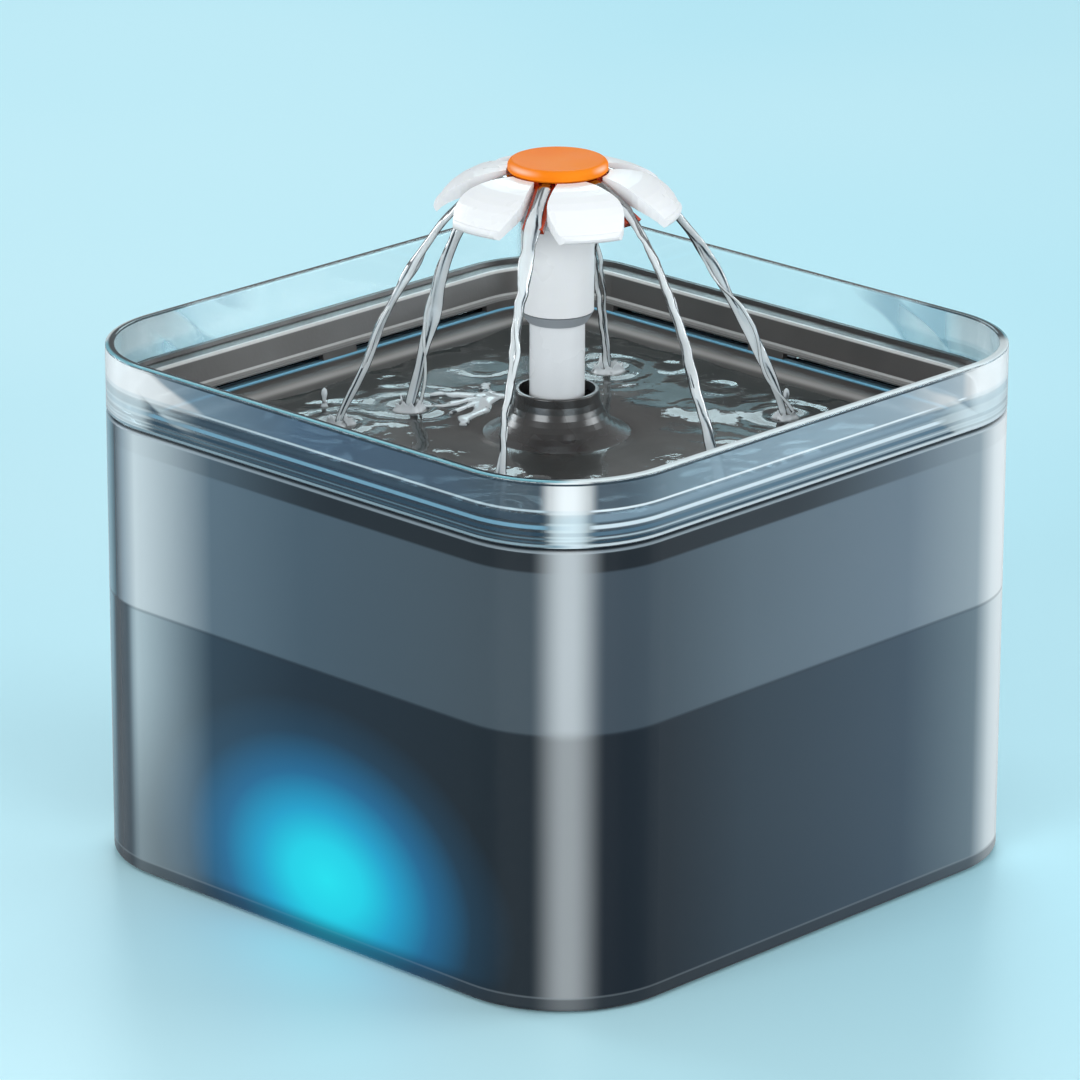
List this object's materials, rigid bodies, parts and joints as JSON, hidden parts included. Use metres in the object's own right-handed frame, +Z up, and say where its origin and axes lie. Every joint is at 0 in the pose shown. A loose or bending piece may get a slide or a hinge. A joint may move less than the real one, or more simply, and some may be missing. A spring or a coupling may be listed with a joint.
{
  "type": "pet water fountain",
  "caption": "Square pet water fountain: smoked tank, clear collar, stepped drinking tray and a flower spout on a riser pipe, over a round filter case and a small lit pump.",
  "frame": {"origin": "middle of the footprint, on the table", "axes": "+Z up; the light in the tank shines at the -Y side, and the lead's notch is at +Y"},
  "size_m": [0.185, 0.185, 0.1885],
  "materials": {
    "smoked plastic": "clear, smoked",
    "soft rubber": "matt",
    "clear plastic": "clear",
    "grey plastic": "gloss",
    "white plastic": "gloss",
    "socket silicone": "satin",
    "orange plastic": "satin",
    "case plastic": "clear",
    "cartridge plastic": "matt",
    "filter cotton": "soft",
    "carbon granules": "matt",
    "resin beads": "satin",
    "pump plastic": "satin",
    "core steel": "bare",
    "coil copper": "enamelled wire",
    "board": "satin",
    "light lens": "clear, lit",
    "pump rubber": "matt",
    "ceramic": "polished",
    "magnet": "matt",
    "impeller plastic": "satin",
    "foam": "open foam"
  },
  "bodies": {
    "tank": {"tank": "smoked plastic", "feet": "soft rubber"},
    "collar": {"collar": "clear plastic"},
    "tray": {"tray": "grey plastic"},
    "flower_socket": {"flower_socket": "socket silicone"},
    "flower": {"flower": "white plastic"},
    "cap": {"flower_core": "orange plastic", "centre_cap": "orange plastic"},
    "filter_case": {"filter_case": "case plastic"},
    "cartridge": {"cartridge_frame": "cartridge plastic", "cotton_bottom": "filter cotton", "carbon_layer": "carbon granules", "resin_layer": "resin beads", "cotton_top": "filter cotton"},
    "filter_lid": {"filter_lid": "case plastic"},
    "pump": {"motor_housing": "pump plastic", "motor_end_cover": "pump plastic", "stator_core": "core steel", "stator_coil": "coil copper", "driver_board": "board", "led": "light lens", "led_lens": "light lens", "cable_gland": "pump rubber", "shaft": "ceramic", "rear_bush": "pump rubber", "front_bush": "pump rubber", "cover_seal": "pump rubber", "volute_cover": "pump plastic", "suction_cups": "pump rubber"},
    "pipe": {"riser_pipe": "white plastic"},
    "intake_cover": {"intake_cover": "pump plastic", "prefilter_sponge": "foam"},
    "impeller": {"rotor_magnet": "magnet", "impeller": "impeller plastic"}
  },
  "joints": [
    {"name": "top_lift", "type": "slide", "parent": "tank", "child": "collar", "axis": [0, 0, 1], "range_m": [0, 0.19]},
    {"name": "tray_lift", "type": "slide", "parent": "collar", "child": "tray", "axis": [0, 0, 1], "range_m": [0, 0.06]},
    {"name": "flower_pull", "type": "slide", "parent": "tray", "child": "flower_socket", "axis": [0, 0, 1], "range_m": [0, 0.04]},
    {"name": "flower_turn", "type": "hinge", "parent": "flower_socket", "child": "flower", "pos_m": [0, 0, 0.15], "axis": [0, 0, 1], "range_deg": [-180, 180]},
    {"name": "cap_pull", "type": "slide", "parent": "flower", "child": "cap", "axis": [0, 0, 1], "range_m": [0, 0.02]},
    {"name": "case_lift", "type": "slide", "parent": "tank", "child": "filter_case", "axis": [0, 0, 1], "range_m": [0, 0.015]},
    {"name": "cartridge_lift", "type": "slide", "parent": "filter_case", "child": "cartridge", "axis": [0, 0, 1], "range_m": [0, 0.014]},
    {"name": "lid_lift", "type": "slide", "parent": "cartridge", "child": "filter_lid", "axis": [0, 0, 1], "range_m": [0, 0.009]},
    {"name": "pump_lift", "type": "slide", "parent": "tank", "child": "pump", "axis": [0, 0, 1], "range_m": [0, 0.008]},
    {"name": "pipe_pull", "type": "slide", "parent": "pump", "child": "pipe", "axis": [0, 0, 1], "range_m": [0, 0.0125]},
    {"name": "cover_slide", "type": "slide", "parent": "pump", "child": "intake_cover", "axis": [0, 1, 0], "range_m": [0, 0.017]},
    {"name": "impeller_spin", "type": "hinge", "parent": "pump", "child": "impeller", "pos_m": [0, 0, 0.021], "axis": [0, 1, 0], "continuous": true}
  ]
}
